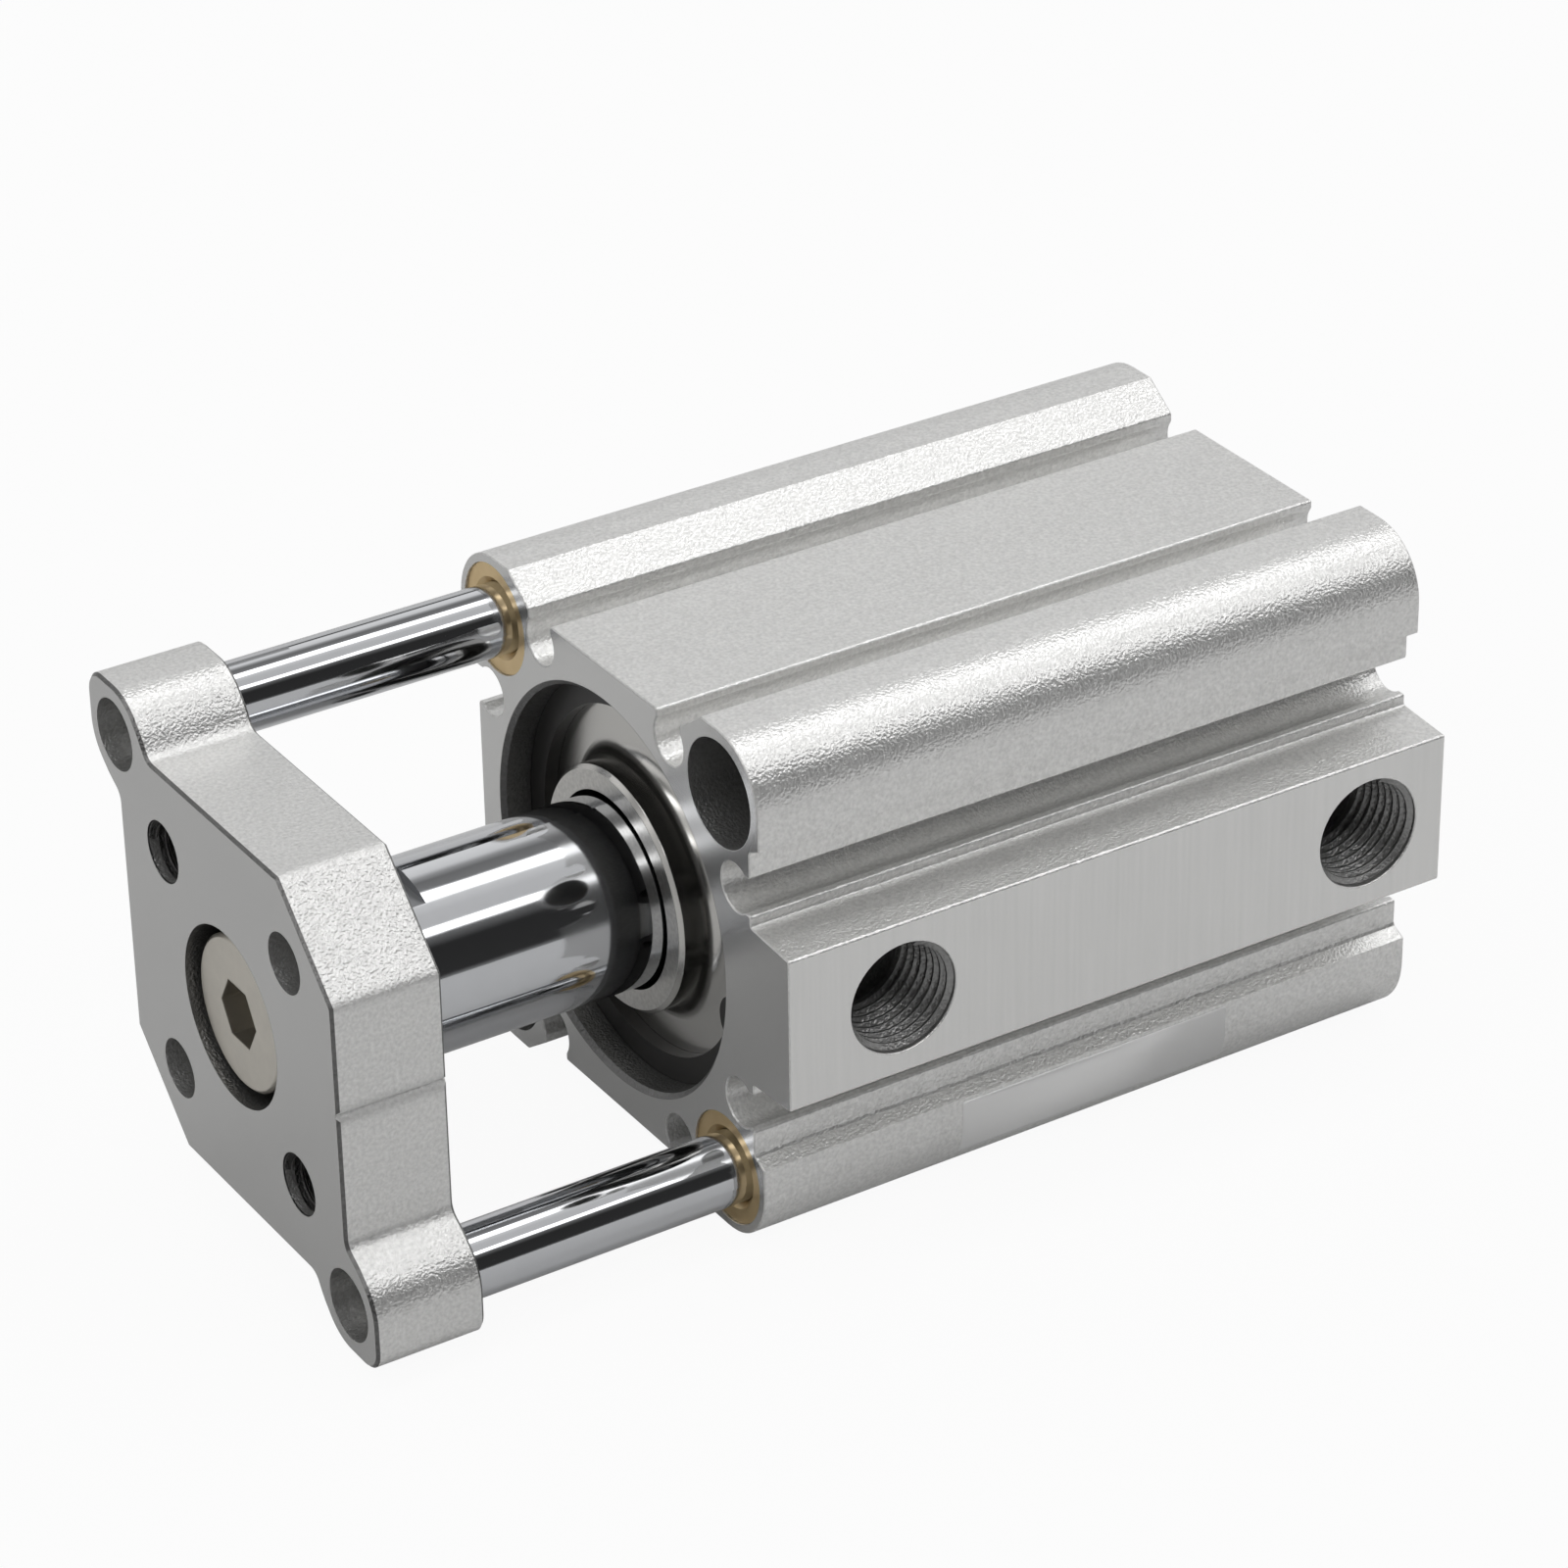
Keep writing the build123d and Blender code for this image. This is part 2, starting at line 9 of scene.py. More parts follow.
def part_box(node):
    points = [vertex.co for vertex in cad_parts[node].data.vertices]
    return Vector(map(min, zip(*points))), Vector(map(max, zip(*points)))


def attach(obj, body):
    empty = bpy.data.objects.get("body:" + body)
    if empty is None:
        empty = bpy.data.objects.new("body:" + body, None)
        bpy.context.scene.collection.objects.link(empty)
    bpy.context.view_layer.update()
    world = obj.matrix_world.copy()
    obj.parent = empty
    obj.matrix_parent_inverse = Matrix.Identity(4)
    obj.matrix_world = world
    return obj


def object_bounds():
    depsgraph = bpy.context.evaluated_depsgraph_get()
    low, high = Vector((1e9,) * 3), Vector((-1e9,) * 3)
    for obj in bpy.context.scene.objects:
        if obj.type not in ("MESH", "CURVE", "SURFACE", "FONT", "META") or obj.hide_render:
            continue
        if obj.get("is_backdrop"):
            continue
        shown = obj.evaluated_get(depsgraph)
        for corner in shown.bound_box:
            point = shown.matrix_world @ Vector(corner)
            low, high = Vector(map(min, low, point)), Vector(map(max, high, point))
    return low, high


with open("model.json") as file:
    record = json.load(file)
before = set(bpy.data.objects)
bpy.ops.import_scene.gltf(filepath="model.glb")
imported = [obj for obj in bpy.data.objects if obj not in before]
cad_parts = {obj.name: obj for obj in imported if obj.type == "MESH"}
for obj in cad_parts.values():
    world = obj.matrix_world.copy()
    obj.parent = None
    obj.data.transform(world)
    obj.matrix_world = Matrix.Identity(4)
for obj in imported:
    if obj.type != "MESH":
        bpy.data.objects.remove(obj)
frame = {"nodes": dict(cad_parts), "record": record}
cad_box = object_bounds()
nodes = frame["nodes"]
mounts = {mount["name"]: mount for mount in frame["record"]["mounts"]}

# Cylinder tube: an aluminium extrusion, clear anodised over a fine blasted grain. Its ends, the
# port strip and every hole are machined after blasting; the ends and the strip shine a little more.
# Painted shade darkens the ends, the chamfers round them, the bore and every hole.
SATIN = (0.86, 0.857, 0.845)
HAIR = 0.00002
EDGE_BREAK = 0.0001
MASK_RAMP = 0.0004
LUG = mounts["body_bolts"]["dims"]["pcd_mm"] / 2000 / sqrt(2)
COUNTERBORE_RADIUS = 0.0045
SEAT_RADIUS = 0.017
HOLE_PAINTED_SHADE = 0.55
BORE_PAINTED_SHADE = 0.72
PORT_RADIUS = mounts["front_port"]["dims"]["r_mm"] / 1000
PORT_LENGTH = mounts["front_port"]["dims"]["length_mm"] / 1000
port_middles = {name: Vector(mounts[name]["pos_m"]) for name in ("front_port", "rear_port")}
port_bottom = port_middles["front_port"].y - PORT_LENGTH / 2
strip_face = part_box("cylinder_tube")[1].y


class Signal:
    """One output of a shader node. Arithmetic on it adds Math nodes."""

    def __init__(self, finish, socket):
        self.finish = finish
        self.socket = socket

    def math(self, operation, *values):
        return self.finish.add("Math", dict(operation=operation), dict(enumerate(values)))

    def __add__(self, other):
        return self.math("ADD", self, other)

    def __radd__(self, other):
        return self.math("ADD", other, self)

    def __sub__(self, other):
        return self.math("SUBTRACT", self, other)

    def __rsub__(self, other):
        return self.math("SUBTRACT", other, self)

    def __mul__(self, other):
        return self.math("MULTIPLY", self, other)

    def __rmul__(self, other):
        return self.math("MULTIPLY", other, self)

    def __truediv__(self, other):
        return self.math("DIVIDE", self, other)

    def __rtruediv__(self, other):
        return self.math("DIVIDE", other, self)

    def __pow__(self, other):
        return self.math("POWER", self, other)

    def __rpow__(self, other):
        return self.math("POWER", other, self)

    def __abs__(self):
        return self.math("ABSOLUTE", self)

    def step(self, low, high):
        """0 below low, 1 above high and a smooth ramp between them."""
        ends = {"Value": self, "From Min": low, "From Max": high}
        return self.finish.add("MapRange", dict(interpolation_type="SMOOTHSTEP"), ends)


class Finish:
    """A surface finish, put together node by node on Object coordinates in metres."""

    def __init__(self, tree):
        self.tree = tree
        self.made = {}

    def add(self, kind, settings, values, output=0):
        """Add a node: first its settings and ramp stops, then its sockets' values or links."""
        node = self.tree.nodes.new("ShaderNode" + kind)
        for name, value in settings.items():
            if name == "stops":
                ramp = node.color_ramp.elements
                while len(ramp) > 1:
                    ramp.remove(ramp[-1])
                for place, (position, colour) in enumerate(value):
                    stop = ramp[0] if place == 0 else ramp.new(position)
                    stop.position = position
                    stop.color = (*colour, 1)
            else:
                setattr(node, name, value)
        for name, value in values.items():
            if isinstance(value, Signal):
                self.tree.links.new(value.socket, node.inputs[name])
            else:
                node.inputs[name].default_value = value
        return Signal(self, node.outputs[output]) if node.outputs else None

    def once(self, key, make):
        """Keep one node for a source that several parts of the finish read."""
        if key not in self.made:
            self.made[key] = make()
        return self.made[key]

    @property
    def place(self):
        return self.once("place", lambda: self.add("TexCoord", {}, {}, output="Object"))

    def axis(self, letter):
        """How far along the given axis a point is, in metres."""
        def split():
            return self.add("SeparateXYZ", {}, {0: self.place}, output=letter)
        return self.once(letter, split)

    def facing(self, letter):
        """How much the surface looks along the given axis, from -1 to 1."""
        def split():
            normal = self.add("NewGeometry", {}, {}, output="Normal")
            return self.add("SeparateXYZ", {}, {0: normal}, output=letter)
        return self.once("facing " + letter, split)

    def noise(self, scale, detail=2.0, roughness=0.5, stretch=None):
        """A noise about 0.5. The stretch squeezes it by a different number on each axis."""
        place = self.place
        if stretch:
            values = {"Vector": place, "Scale": stretch}
            place = self.add("Mapping", dict(vector_type="POINT"), values)
        values = {"Vector": place, "Scale": scale, "Detail": detail, "Roughness": roughness}
        return self.add("TexNoise", {}, values)

    def blend(self, factor, first, second, kind="RGBA"):
        """Go from the first colour or vector to the second one as the factor goes from 0 to 1."""
        low, high, mixed = {"RGBA": (6, 7, 2), "VECTOR": (4, 5, 1)}[kind]
        values = {0: factor, low: first, high: second}
        return self.add("Mix", dict(data_type=kind), values, output=mixed)

    def vector(self, operation, first, second=(0, 0, 0)):
        return self.add("VectorMath", dict(operation=operation), {0: first, 1: second})

    def shade(self, factor, colour):
        """Multiply a colour by a number."""
        grey = self.add("CombineXYZ", {}, {0: factor, 1: factor, 2: factor})
        return self.vector("MULTIPLY", colour, grey)

    def within(self, axes, centres, radius):
        """1 inside round holes of one radius and 0 outside. The axes are the two across them."""
        inside = 0.0
        for centre in centres:
            across = self.axis(axes[0]) - centre[0]
            up = self.axis(axes[1]) - centre[1]
            away = (across * across + up * up) ** 0.5
            inside = inside + (1 - away.step(radius + HAIR / 2, radius + 2 * HAIR))
        return inside

    def softened(self, radius):
        """The surface's normal, with sharp edges rounded to a radius."""
        return self.add("Bevel", dict(samples=6), {"Radius": radius})

    def bump(self, height, distance, strength, normal=None):
        """Raise the surface by a height, starting from a softened normal where one is given."""
        values = {"Height": height, "Distance": distance, "Strength": strength}
        if normal:
            values["Normal"] = normal
        return self.add("Bump", {}, values)


def finish_for(name):
    """A new material and the finish that fills it."""
    material = bpy.data.materials.new(name)
    material.use_nodes = True
    material.node_tree.nodes.clear()
    return material, Finish(material.node_tree)


def close_finish(finish, colour, metallic, dull, normal):
    """End a finish in one Principled shader."""
    values = {"Base Color": colour, "Metallic": metallic, "Roughness": dull, "Normal": normal}
    surface = finish.add("BsdfPrincipled", {}, values)
    finish.add("OutputMaterial", {}, {"Surface": surface})


def dress(names, material):
    """Give CAD nodes a finish in place of the one they were packed with."""
    for name in names:
        slots = nodes[name].material_slots
        for slot in slots:
            slot.material = material
        if not slots:
            nodes[name].data.materials.append(material)


def blasted_aluminium(name, cut, painted_hole_shade, tone, painted_end_shade, painted_rim_shade, corner=0.0):
    """Clear-anodised aluminium: a fine blasted grain, smooth where cut, with painted shade in the
    holes, on the cut ends and on the chamfers round them.

    A corner rounds the outline's sharp corners to that radius, in the shading only.
    """
    material, finish = finish_for(name)
    ends, strip = cut(finish)
    blasted = 1 - ends.math("MAXIMUM", ends, strip)
    grain = finish.noise(scale=4200.0, detail=1.0)
    fleck = finish.noise(scale=3100.0, detail=1.0) - 0.5
    cloud = finish.noise(scale=160.0, detail=3.0) - 0.5
    drawn = finish.noise(scale=1.0, detail=1.0, stretch=(6.0, 1100.0, 1100.0)) - 0.5
    milled = (finish.noise(scale=1.0, detail=1.0, stretch=(2300.0, 40.0, 60.0)) - 0.5) * strip
    rim = abs(finish.facing("X")).step(0.3, 0.5) - ends
    level = tone + (fleck * 0.42 + drawn * 0.05) * blasted + cloud * 0.05 + milled * 0.12
    # Painted shade: the colour is darkened in the holes, on the ends that face along X and on the
    # chamfers round those ends.
    level = level * (1 - painted_hole_shade(finish)) * (1 - ends * painted_end_shade) * (1 - rim * painted_rim_shade)
    dull = 0.25 + 0.1 * blasted + cloud * 0.04
    normal = finish.softened(EDGE_BREAK)
    if corner:
        outward = finish.vector("MULTIPLY", finish.softened(corner), (0, 1, 1))
        outward = finish.vector("NORMALIZE", outward)
        normal = finish.blend(ends, outward, normal, kind="VECTOR")
    normal = finish.bump(grain * blasted, distance=0.00012, strength=0.6, normal=normal)
    close_finish(finish, finish.shade(level, SATIN), metallic=0.86, dull=dull, normal=normal)
    return material


def barrel_cuts(finish):
    """The ends and the port strip of the tube, which are cut after blasting."""
    ends = abs(finish.facing("X")).step(0.9, 0.98)
    outermost = finish.axis("Y").step(strip_face - 4 * HAIR, strip_face - HAIR)
    return ends, finish.facing("Y").step(0.95, 0.99) * outermost


def barrel_painted_hole_shade(finish):
    """Painted shade: how much darker the tube's colour is made in its bore, in the mounting holes
    and in the ports.
    """
    bolts = finish.within("YZ", [(LUG, LUG), (-LUG, -LUG)], COUNTERBORE_RADIUS)
    port_centres = [(middle.x, middle.z) for middle in port_middles.values()]
    ports = finish.within("XZ", port_centres, PORT_RADIUS)
    bore = finish.within("YZ", [(0, 0)], SEAT_RADIUS + MASK_RAMP)
    outside = finish.axis("Y").step(port_bottom - 2 * MASK_RAMP, port_bottom - MASK_RAMP)
    return (bolts + ports * outside) * HOLE_PAINTED_SHADE + bore * (1 - outside) * BORE_PAINTED_SHADE


tube_finish = blasted_aluminium(
    "anodised extrusion", barrel_cuts, barrel_painted_hole_shade, tone=0.97, painted_end_shade=0.24, painted_rim_shade=0.2,
)
dress(["cylinder_tube"], tube_finish)

# Lug edges: on the port side the extrusion's lugs stay flat as far as a narrow step beside each
# sensor groove. One extruded strip of the same aluminium fills each lug out to that step.
LUG_RADIUS = 0.0055
STEP_TOP = LUG - 0.0026
STEP_FOOT = LUG - 0.00325
GROOVE_LIP = 0.0212
STRIP_DEPTH = 0.0002
lug_side = LUG + LUG_RADIUS
tube_rear, tube_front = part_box("cylinder_tube")


def make_piece(name, bm, material):
    """Turn a finished bmesh into an object at the origin."""
    mesh = bpy.data.meshes.new(name)
    bm.to_mesh(mesh)
    bm.free()
    mesh.materials.append(material)
    piece = bpy.data.objects.new(name, mesh)
    bpy.context.collection.objects.link(piece)
    return piece


for side, sign in (("upper", 1), ("lower", -1)):
    section = [
        (lug_side + HAIR / 4, LUG), (lug_side + HAIR / 4, STEP_TOP), (GROOVE_LIP, STEP_FOOT),
        (GROOVE_LIP - STRIP_DEPTH, STEP_FOOT), (lug_side - STRIP_DEPTH, LUG),
    ]
    bm = bmesh.new()
    corners = [bm.verts.new((tube_rear.x + HAIR / 4, out, sign * up)) for out, up in section]
    face = bm.faces.new(corners)
    pulled = bmesh.ops.extrude_face_region(bm, geom=[face])["geom"]
    pulled = [item for item in pulled if isinstance(item, bmesh.types.BMVert)]
    bmesh.ops.translate(bm, verts=pulled, vec=(tube_front.x - tube_rear.x - HAIR / 2, 0, 0))
    rims = [edge for edge in bm.edges if edge.verts[0].co.x == edge.verts[1].co.x]
    bmesh.ops.bevel(
        bm, geom=rims, affect="EDGES", offset=EDGE_BREAK, segments=1, profile=0.5, material=-1,
    )
    bmesh.ops.recalc_face_normals(bm, faces=bm.faces)
    lug_edge = make_piece(f"lug_edge_{side}", bm, tube_finish)
    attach(lug_edge, "barrel")

# Rod cover and rear cover: turned from aluminium bar, so fine rings run round the axis. The hub
# round the rod keeps a speckled grey face and a bright rim.
TURNED = (0.62, 0.61, 0.585)
HUB_SKIN = 0.0006
hub_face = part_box("rod_cover")[1].x


def turned_aluminium(name):
    """Turned aluminium, with rings round the axis and specks on the hub's face."""
    material, finish = finish_for(name)
    radius = (finish.axis("Y") ** 2.0 + finish.axis("Z") ** 2.0) ** 0.5
    values = {"W": radius, "Scale": 4200.0, "Detail": 2.0}
    rings = finish.add("TexNoise", dict(noise_dimensions="1D"), values) - 0.5
    speck = finish.noise(scale=2600.0)
    skin = hub_face - HUB_SKIN
    near_face = finish.axis("X").step(skin - MASK_RAMP / 2, skin)
    on_hub = near_face * finish.facing("X").step(0.8, 0.95)
    level = 0.9 + (speck - 0.6) * 0.5 * on_hub + rings * 0.06
    dull = 0.2 + 0.1 * on_hub + rings * 0.04
    height = rings * 0.25 + speck * on_hub
    softened = finish.softened(EDGE_BREAK)
    normal = finish.bump(height, distance=0.00001, strength=0.3, normal=softened)
    close_finish(finish, finish.shade(level, TURNED), metallic=1.0, dull=dull, normal=normal)
    return material


dress(["rod_cover", "rear_cover"], turned_aluminium("turned aluminium"))

# Retaining ring: spring steel, stamped and black phosphated, snapped in front of the rod cover.
material, finish = finish_for("black phosphated steel")
mottle = finish.noise(scale=900.0, detail=3.0)
colour = finish.blend(mottle, (0.02, 0.02, 0.021, 1), (0.05, 0.048, 0.045, 1))
normal = finish.bump(finish.noise(scale=3500.0), distance=0.00001, strength=0.4)
close_finish(finish, colour, metallic=0.6, dull=0.32 + mottle * 0.15, normal=normal)
dress(["retaining_ring"], material)

# Seals: black nitrile rubber, moulded, with a matt skin.
material, finish = finish_for("black nitrile rubber")
bloom = finish.noise(scale=300.0, detail=3.0)
colour = finish.blend(bloom, (0.012, 0.012, 0.013, 1), (0.03, 0.03, 0.03, 1))
normal = finish.bump(finish.noise(scale=2500.0), distance=0.00002, strength=0.4)
close_finish(finish, colour, metallic=0.0, dull=0.5 + bloom * 0.2, normal=normal)
dress(["rod_cover_o_ring", "rear_cover_o_ring", "rod_seal", "piston_seal"], material)

# Bushes: turned bearing bronze, pressed into the rod cover and the long guide bores.
material, finish = finish_for("bearing bronze")
patch = finish.noise(scale=500.0, detail=3.0)
colour = finish.blend(patch, (0.62, 0.45, 0.22, 1), (0.8, 0.62, 0.36, 1))
normal = finish.bump(finish.noise(scale=3000.0), distance=0.000015, strength=0.5)
close_finish(finish, colour, metallic=0.85, dull=0.3 + patch * 0.1, normal=normal)
for side in ("upper", "lower"):
    dress([f"guide_bush_{side}_front", f"guide_bush_{side}_inner"], material)
dress(["rod_bush"], material)

# Piston: turned aluminium, with a plastic wear ring, a bonded magnet and two urethane bumpers.
dress(["piston"], turned_aluminium("turned piston alloy"))


def moulded(name, dark, light, dullness):
    """A moulded inner piece: a plain colour with a faint cloud and a fine skin."""
    material, finish = finish_for(name)
    cloud = finish.noise(scale=400.0, detail=3.0)
    colour = finish.blend(cloud, (*dark, 1), (*light, 1))
    normal = finish.bump(finish.noise(scale=2800.0), distance=0.000015, strength=0.4)
    close_finish(finish, colour, metallic=0.0, dull=dullness + cloud * 0.1, normal=normal)
    return material


plastic = moulded("wear ring plastic", (0.62, 0.56, 0.46), (0.72, 0.66, 0.55), dullness=0.45)
magnet = moulded("bonded magnet", (0.03, 0.03, 0.033), (0.06, 0.06, 0.065), dullness=0.5)
urethane = moulded("urethane", (0.4, 0.17, 0.04), (0.5, 0.24, 0.07), dullness=0.35)
dress(["wear_ring"], plastic)
dress(["piston_magnet"], magnet)
dress(["rear_bumper", "front_bumper"], urethane)

# Piston rod and guide rods: steel, ground, hard chromed and polished. Grinding leaves a very
# faint waviness, which bends the reflections, and the two wrench flats are duller. Their colour is
# also halved, partly for the milled steel and partly as painted shade from the plate beside them.
CHROME = (0.66, 0.67, 0.69)
WRENCH_FLAT_LENGTH = 0.0061
flat_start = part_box("end_plate")[0].x - WRENCH_FLAT_LENGTH
material, finish = finish_for("hard chrome")
wave = finish.noise(scale=1.0, stretch=(60.0, 220.0, 220.0))
haze = finish.noise(scale=700.0, detail=3.0)
by_the_plate = finish.axis("X").step(flat_start, flat_start + EDGE_BREAK)
wrench_flat = by_the_plate * abs(finish.facing("Z")).step(0.995, 0.999)
# Partly painted shade: the wrench flats' colour is halved, for the plate's shadow as well as the
# milled steel.
colour = finish.shade((0.97 + (haze - 0.5) * 0.06) * (1 - wrench_flat * 0.5), CHROME)
dull = 0.045 + haze * 0.04 + wrench_flat * 0.25
normal = finish.bump(wave, distance=0.00012, strength=0.25)
close_finish(finish, colour, metallic=1.0, dull=dull, normal=normal)
dress(["piston_rod", "guide_rod_upper", "guide_rod_lower"], material)

# End plate: sawn from aluminium bar, milled, blasted and clear anodised like the tube. Its holes
# are drilled through both faces; painted shade darkens them from the front, as it does the two flat
# faces and their chamfers.
PLATE_HOLE_RADIUS = mounts["plate_holes"]["dims"]["hole_r_mm"] / 1000
PLATE_HOLE = mounts["plate_holes"]["dims"]["pcd_mm"] / 2000 / sqrt(2)
GUIDE_HEAD_HOLE = 0.003
SCREW_HEAD_HOLE = 0.0075
PLATE_CORNER = 0.0013


def plate_cuts(finish):
    """The two flat faces, milled a little smoother than the sawn outline, and no strip."""
    return abs(finish.facing("X")).step(0.9, 0.98), 0.0


def plate_painted_hole_shade(finish):
    """Painted shade: how much darker the plate's colour is made in the screws' counterbores and in
    the small holes.
    """
    sides = (-PLATE_HOLE, PLATE_HOLE)
    small = finish.within("YZ", [(LUG, -LUG), (-LUG, LUG)], GUIDE_HEAD_HOLE)
    small = small + finish.within("YZ", [(y, z) for y in sides for z in sides], PLATE_HOLE_RADIUS)
    return finish.within("YZ", [(0, 0)], SCREW_HEAD_HOLE) * 0.75 + small * 0.35


plate_finish = blasted_aluminium(
    "anodised plate", plate_cuts, plate_painted_hole_shade, tone=0.92, painted_end_shade=0.33, painted_rim_shade=0.75,
    corner=PLATE_CORNER,
)
dress(["end_plate"], plate_finish)

# Screws: a low-head socket screw, nickel plated, in the middle, and two small zinc-plated ones
# deep in the ears. They hold the plate to the rods.
NICKEL = (0.58, 0.55, 0.49)
ZINC = (0.5, 0.5, 0.49)
SOCKET_RADIUS = 0.0029
head_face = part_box("end_plate_screw")[1].x
material, finish = finish_for("nickel plate")
cloud = finish.noise(scale=420.0, detail=4.0, roughness=0.7)
sunk = 1 - finish.axis("X").step(head_face - 2 * HAIR, head_face - HAIR)
# Painted shade: the colour is a fifth darker down in the hex socket.
socket = finish.within("YZ", [(0, 0)], SOCKET_RADIUS) * sunk
colour = finish.shade((0.86 + cloud * 0.26) * (1 - socket * 0.2), NICKEL)
height = cloud + finish.noise(scale=2500.0) * 0.4
softened = finish.softened(2 * EDGE_BREAK)
normal = finish.bump(height, distance=0.00003, strength=0.4, normal=softened)
close_finish(finish, colour, metallic=0.95, dull=0.28 + cloud * 0.12, normal=normal)
dress(["end_plate_screw"], material)

material, finish = finish_for("zinc plate")
cloud = finish.noise(scale=700.0, detail=3.0)
colour = finish.shade(0.85 + cloud * 0.2, ZINC)
normal = finish.bump(finish.noise(scale=2800.0), distance=0.00001, strength=0.4)
close_finish(finish, colour, metallic=1.0, dull=0.3 + cloud * 0.1, normal=normal)
dress(["guide_screw_upper", "guide_screw_lower"], material)

# Threads: cut in the ports and in two of the plate's holes. Each is one ridge that winds along
# the hole's wall, of the same aluminium as what it is cut in.
STEPS_PER_TURN = 40
ROOT_SHARE = 0.46
CREST_SHARE = 0.1
PORT_PITCH = 0.000907
PORT_THREAD_DEPTH = 0.00044
PORT_THREAD_START = 0.00008
PLATE_PITCH = 0.0008
PLATE_THREAD_DEPTH = 0.00038
PLATE_THREAD_START = 0.0001
ALONG_X, ALONG_Y = Vector((1, 0, 0)), Vector((0, 1, 0))


def cut_thread(name, foot, axis, side, wall, depth, pitch, length, material, body):
    """Wind a ridge from the foot of a hole along its axis, as deep as the thread on its wall."""
    bm = bmesh.new()
    root = wall + HAIR / 2
    crest = wall - depth
    corners = []
    for out, along in (
        (root, -ROOT_SHARE), (crest, -CREST_SHARE), (crest, CREST_SHARE), (root, ROOT_SHARE),
    ):
        corners.append(bm.verts.new(foot + side * out + axis * pitch * (0.5 + along)))
    ring = [bm.edges.new((corners[i - 1], corners[i])) for i in range(4)]
    turns = length / pitch - 1
    steps = round(turns * STEPS_PER_TURN)
    bmesh.ops.spin(
        bm, geom=corners + ring, cent=foot, axis=axis, dvec=axis * (pitch * turns / steps),
        angle=2 * pi * turns, steps=steps, use_merge=False, use_duplicate=False,
    )
    bmesh.ops.holes_fill(bm, edges=[edge for edge in bm.edges if edge.is_boundary], sides=0)
    bmesh.ops.recalc_face_normals(bm, faces=bm.faces)
    piece = make_piece(name, bm, material)
    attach(piece, body)


for port, middle in port_middles.items():
    foot = Vector((middle.x, port_bottom + PORT_THREAD_START, middle.z))
    cut_thread(
        f"{port}_thread", foot, ALONG_Y, ALONG_X, PORT_RADIUS, PORT_THREAD_DEPTH, PORT_PITCH,
        PORT_LENGTH, tube_finish, "barrel",
    )
plate_back, plate_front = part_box("end_plate")
plate_length = plate_front.x - plate_back.x - 2 * PLATE_THREAD_START
for side, sign in (("upper", 1), ("lower", -1)):
    foot = Vector((plate_back.x + PLATE_THREAD_START, -sign * PLATE_HOLE, sign * PLATE_HOLE))
    cut_thread(
        f"plate_thread_{side}", foot, ALONG_X, ALONG_Y, PLATE_HOLE_RADIUS, PLATE_THREAD_DEPTH,
        PLATE_PITCH, plate_length, plate_finish, "slider",
    )

# Label: a bare strip of satin film, stuck round the outer side of the lower lug.
LABEL_THICKNESS = 0.00005
LABEL_ENDS = (0.0184, 0.0443)
LABEL_RISE = 0.0023
LABEL_WRAP = radians(31)
LABEL_CORNER = 0.0003
material, finish = finish_for("satin label film")
cloud = finish.noise(scale=220.0, detail=3.0)
colour = finish.blend(cloud, (0.93, 0.93, 0.925, 1), (0.97, 0.97, 0.965, 1))
normal = finish.bump(finish.noise(scale=1800.0), distance=0.000008, strength=0.3)
close_finish(finish, colour, metallic=0.5, dull=0.4 + cloud * 0.06, normal=normal)
bm = bmesh.new()
ends = [bm.verts.new((x, lug_side + LABEL_THICKNESS, -LUG)) for x in LABEL_ENDS]
edge = bm.edges.new(ends)
bmesh.ops.spin(
    bm, geom=[*ends, edge], cent=(0, LUG, -LUG), axis=(-1, 0, 0), angle=LABEL_WRAP, steps=6,
    use_merge=False, use_duplicate=False,
)
top_edge = [edge for edge in bm.edges if all(vert.co.z > -LUG - HAIR / 2 for vert in edge.verts)]
raised = bmesh.ops.extrude_edge_only(bm, edges=top_edge)["geom"]
raised = [item for item in raised if isinstance(item, bmesh.types.BMVert)]
bmesh.ops.translate(bm, verts=raised, vec=(0, 0, LABEL_RISE))
corners = [vert for vert in bm.verts if len(vert.link_edges) == 2]
bmesh.ops.bevel(
    bm, geom=corners, affect="VERTICES", offset=LABEL_CORNER, segments=3, profile=0.5, material=-1,
)
bmesh.ops.recalc_face_normals(bm, faces=bm.faces)
bmesh.ops.solidify(bm, geom=bm.faces, thickness=LABEL_THICKNESS)
bmesh.ops.recalc_face_normals(bm, faces=bm.faces)
label = make_piece("blank_label", bm, material)
for polygon in label.data.polygons:
    polygon.use_smooth = abs(polygon.normal.x) < 0.5
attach(label, "barrel")

# Studio: a white floor, a plain sky of long light boxes and the camera. The floor keeps a faint
# shadow, and metal sees the same white as the camera does, only weaker.
FLOOR_SIZE = 6.0
FLOOR_GREY = (0.62, 0.62, 0.62, 1)
WHITE = (1, 1, 1, 1)
material, finish = finish_for("white floor")
camera_ray = finish.add("LightPath", {}, {}, output="Is Camera Ray")
glossy_ray = finish.add("LightPath", {}, {}, output="Is Glossy Ray")
clear_ray = finish.add("LightPath", {}, {}, output="Is Transmission Ray")
paint = finish.add("BsdfDiffuse", {}, {"Color": FLOOR_GREY})
white = finish.add("Emission", {}, {"Color": WHITE, "Strength": 1.0})
seen = camera_ray * 0.94 + glossy_ray * 0.06 + clear_ray * 0.94
surface = finish.add("MixShader", {}, {0: seen, 1: paint, 2: white})
finish.add("OutputMaterial", {}, {"Surface": surface})
bm = bmesh.new()
bmesh.ops.create_grid(bm, x_segments=1, y_segments=1, size=FLOOR_SIZE)
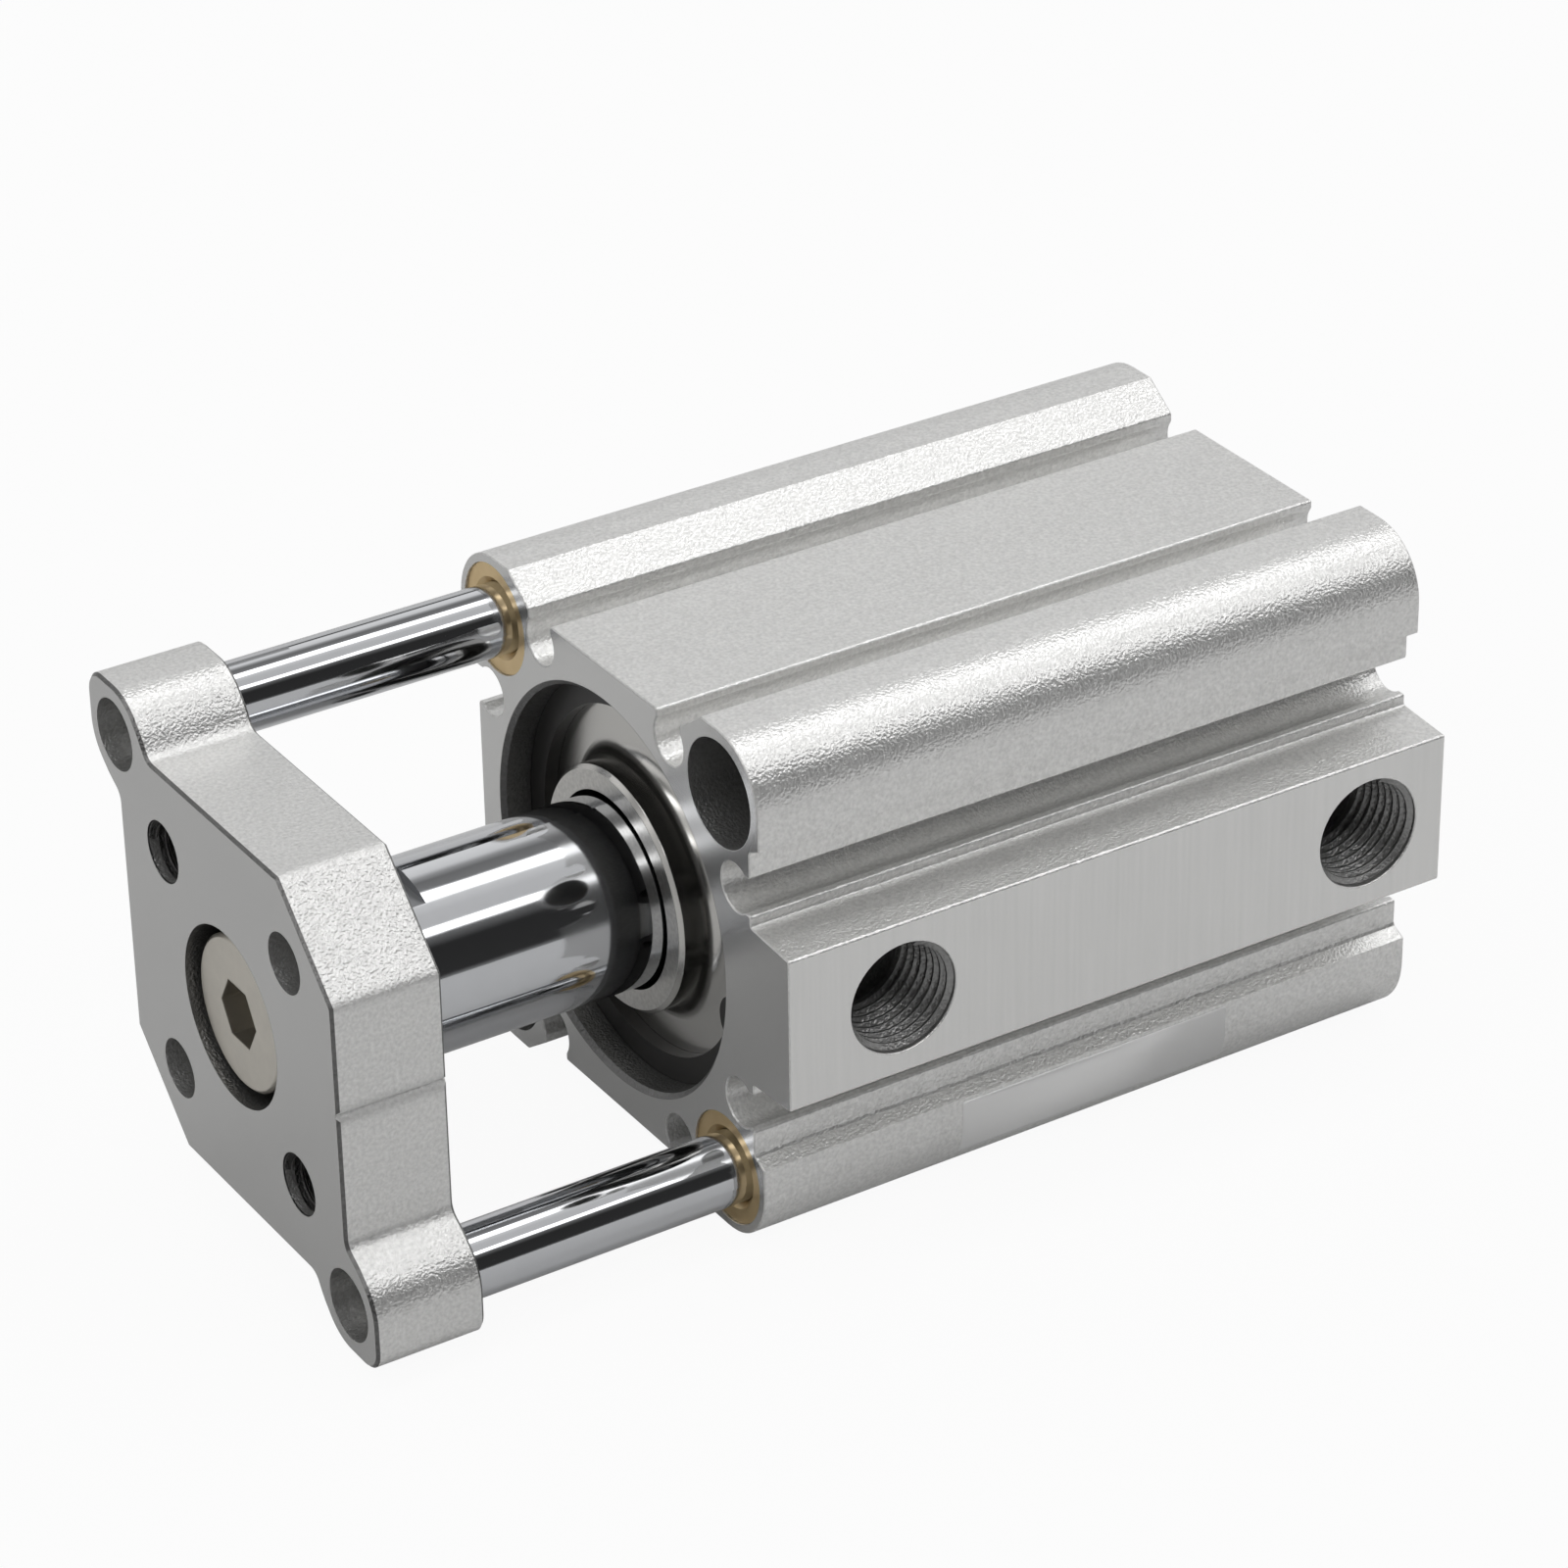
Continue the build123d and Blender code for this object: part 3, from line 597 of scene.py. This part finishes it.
bmesh.ops.translate(bm, verts=bm.verts, vec=(0, 0, cad_box[0][2]))
floor = make_piece("floor", bm, material)
floor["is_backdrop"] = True

# The light boxes run along X, like long soft lamps. Each stop is an angle round the X axis in
# degrees and how bright the studio is there, so the rods show the photograph's bright bands.
SKY_LEVEL = 4.0
END_LEVEL = 0.55
LIGHT_BOXES = [
    (-180, 0.6), (-150, 0.5), (-60, 0.5), (-12, 0.5), (-2, 0.3), (4, 0.035), (36, 0.03), (46, 0.15),
    (49, 0.2), (50, 3.3), (57, 3.3), (59, 0.64), (75, 0.66), (86, 0.8), (90, 3.0), (101, 3.0),
    (103, 0.25), (117, 0.2), (124, 0.4), (130, 0.8), (146, 0.95), (150, 0.7), (152, 0.08),
    (156, 0.08), (159, 0.6), (173, 0.66), (180, 0.6),
]
world = bpy.data.worlds.new("studio")
bpy.context.scene.world = world
world.use_nodes = True
world.node_tree.nodes.clear()
sky = Finish(world.node_tree)
direction = sky.add("TexCoord", {}, {}, output="Generated")
along, across, up = [
    sky.add("SeparateXYZ", {}, {0: direction}, output=letter) for letter in "XYZ"
]
turn = up.math("ARCTAN2", up, across) / (2 * pi) + 0.5
stops = [((angle + 180) / 360, (level / SKY_LEVEL,) * 3) for angle, level in LIGHT_BOXES]
boxes = sky.add("ValToRGB", dict(stops=stops), {0: turn})
endwise = abs(along).step(0.55, 0.95)
mixed = sky.blend(endwise, boxes, (END_LEVEL / SKY_LEVEL,) * 3 + (1,))
studio = sky.add("Background", {}, {"Color": mixed, "Strength": SKY_LEVEL})
plain = sky.add("Background", {}, {"Color": WHITE, "Strength": 1.0})
looked_at = sky.add("LightPath", {}, {}, output="Is Camera Ray")
through = sky.add("LightPath", {}, {}, output="Is Transmission Ray")
surface = sky.add("MixShader", {}, {0: looked_at + through, 1: studio, 2: plain})
sky.add("OutputWorld", {}, {"Surface": surface})

CAMERA_PLACE = Vector((0.254724, 0.331718, 0.228224))
CAMERA_AIM = Vector((0.040, -0.010303, -0.002454))
CAMERA_ROLL = radians(-0.933)
lens = bpy.data.cameras.new("camera")
lens.sensor_width = 36.0
lens.lens = 128.51
lens.clip_start = 0.01
lens.clip_end = 20.0
camera = bpy.data.objects.new("camera", lens)
bpy.context.collection.objects.link(camera)
camera.location = CAMERA_PLACE
facing = (CAMERA_AIM - CAMERA_PLACE).to_track_quat("-Z", "Y")
camera.rotation_mode = "QUATERNION"
camera.rotation_quaternion = facing @ Quaternion((0, 0, 1), CAMERA_ROLL)
bpy.context.scene.camera = camera
bpy.context.scene.view_settings.view_transform = "Standard"

boxes_found = {"cad": cad_box, "visual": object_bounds()}
boxes_found = {name: [list(corner) for corner in box] for name, box in boxes_found.items()}
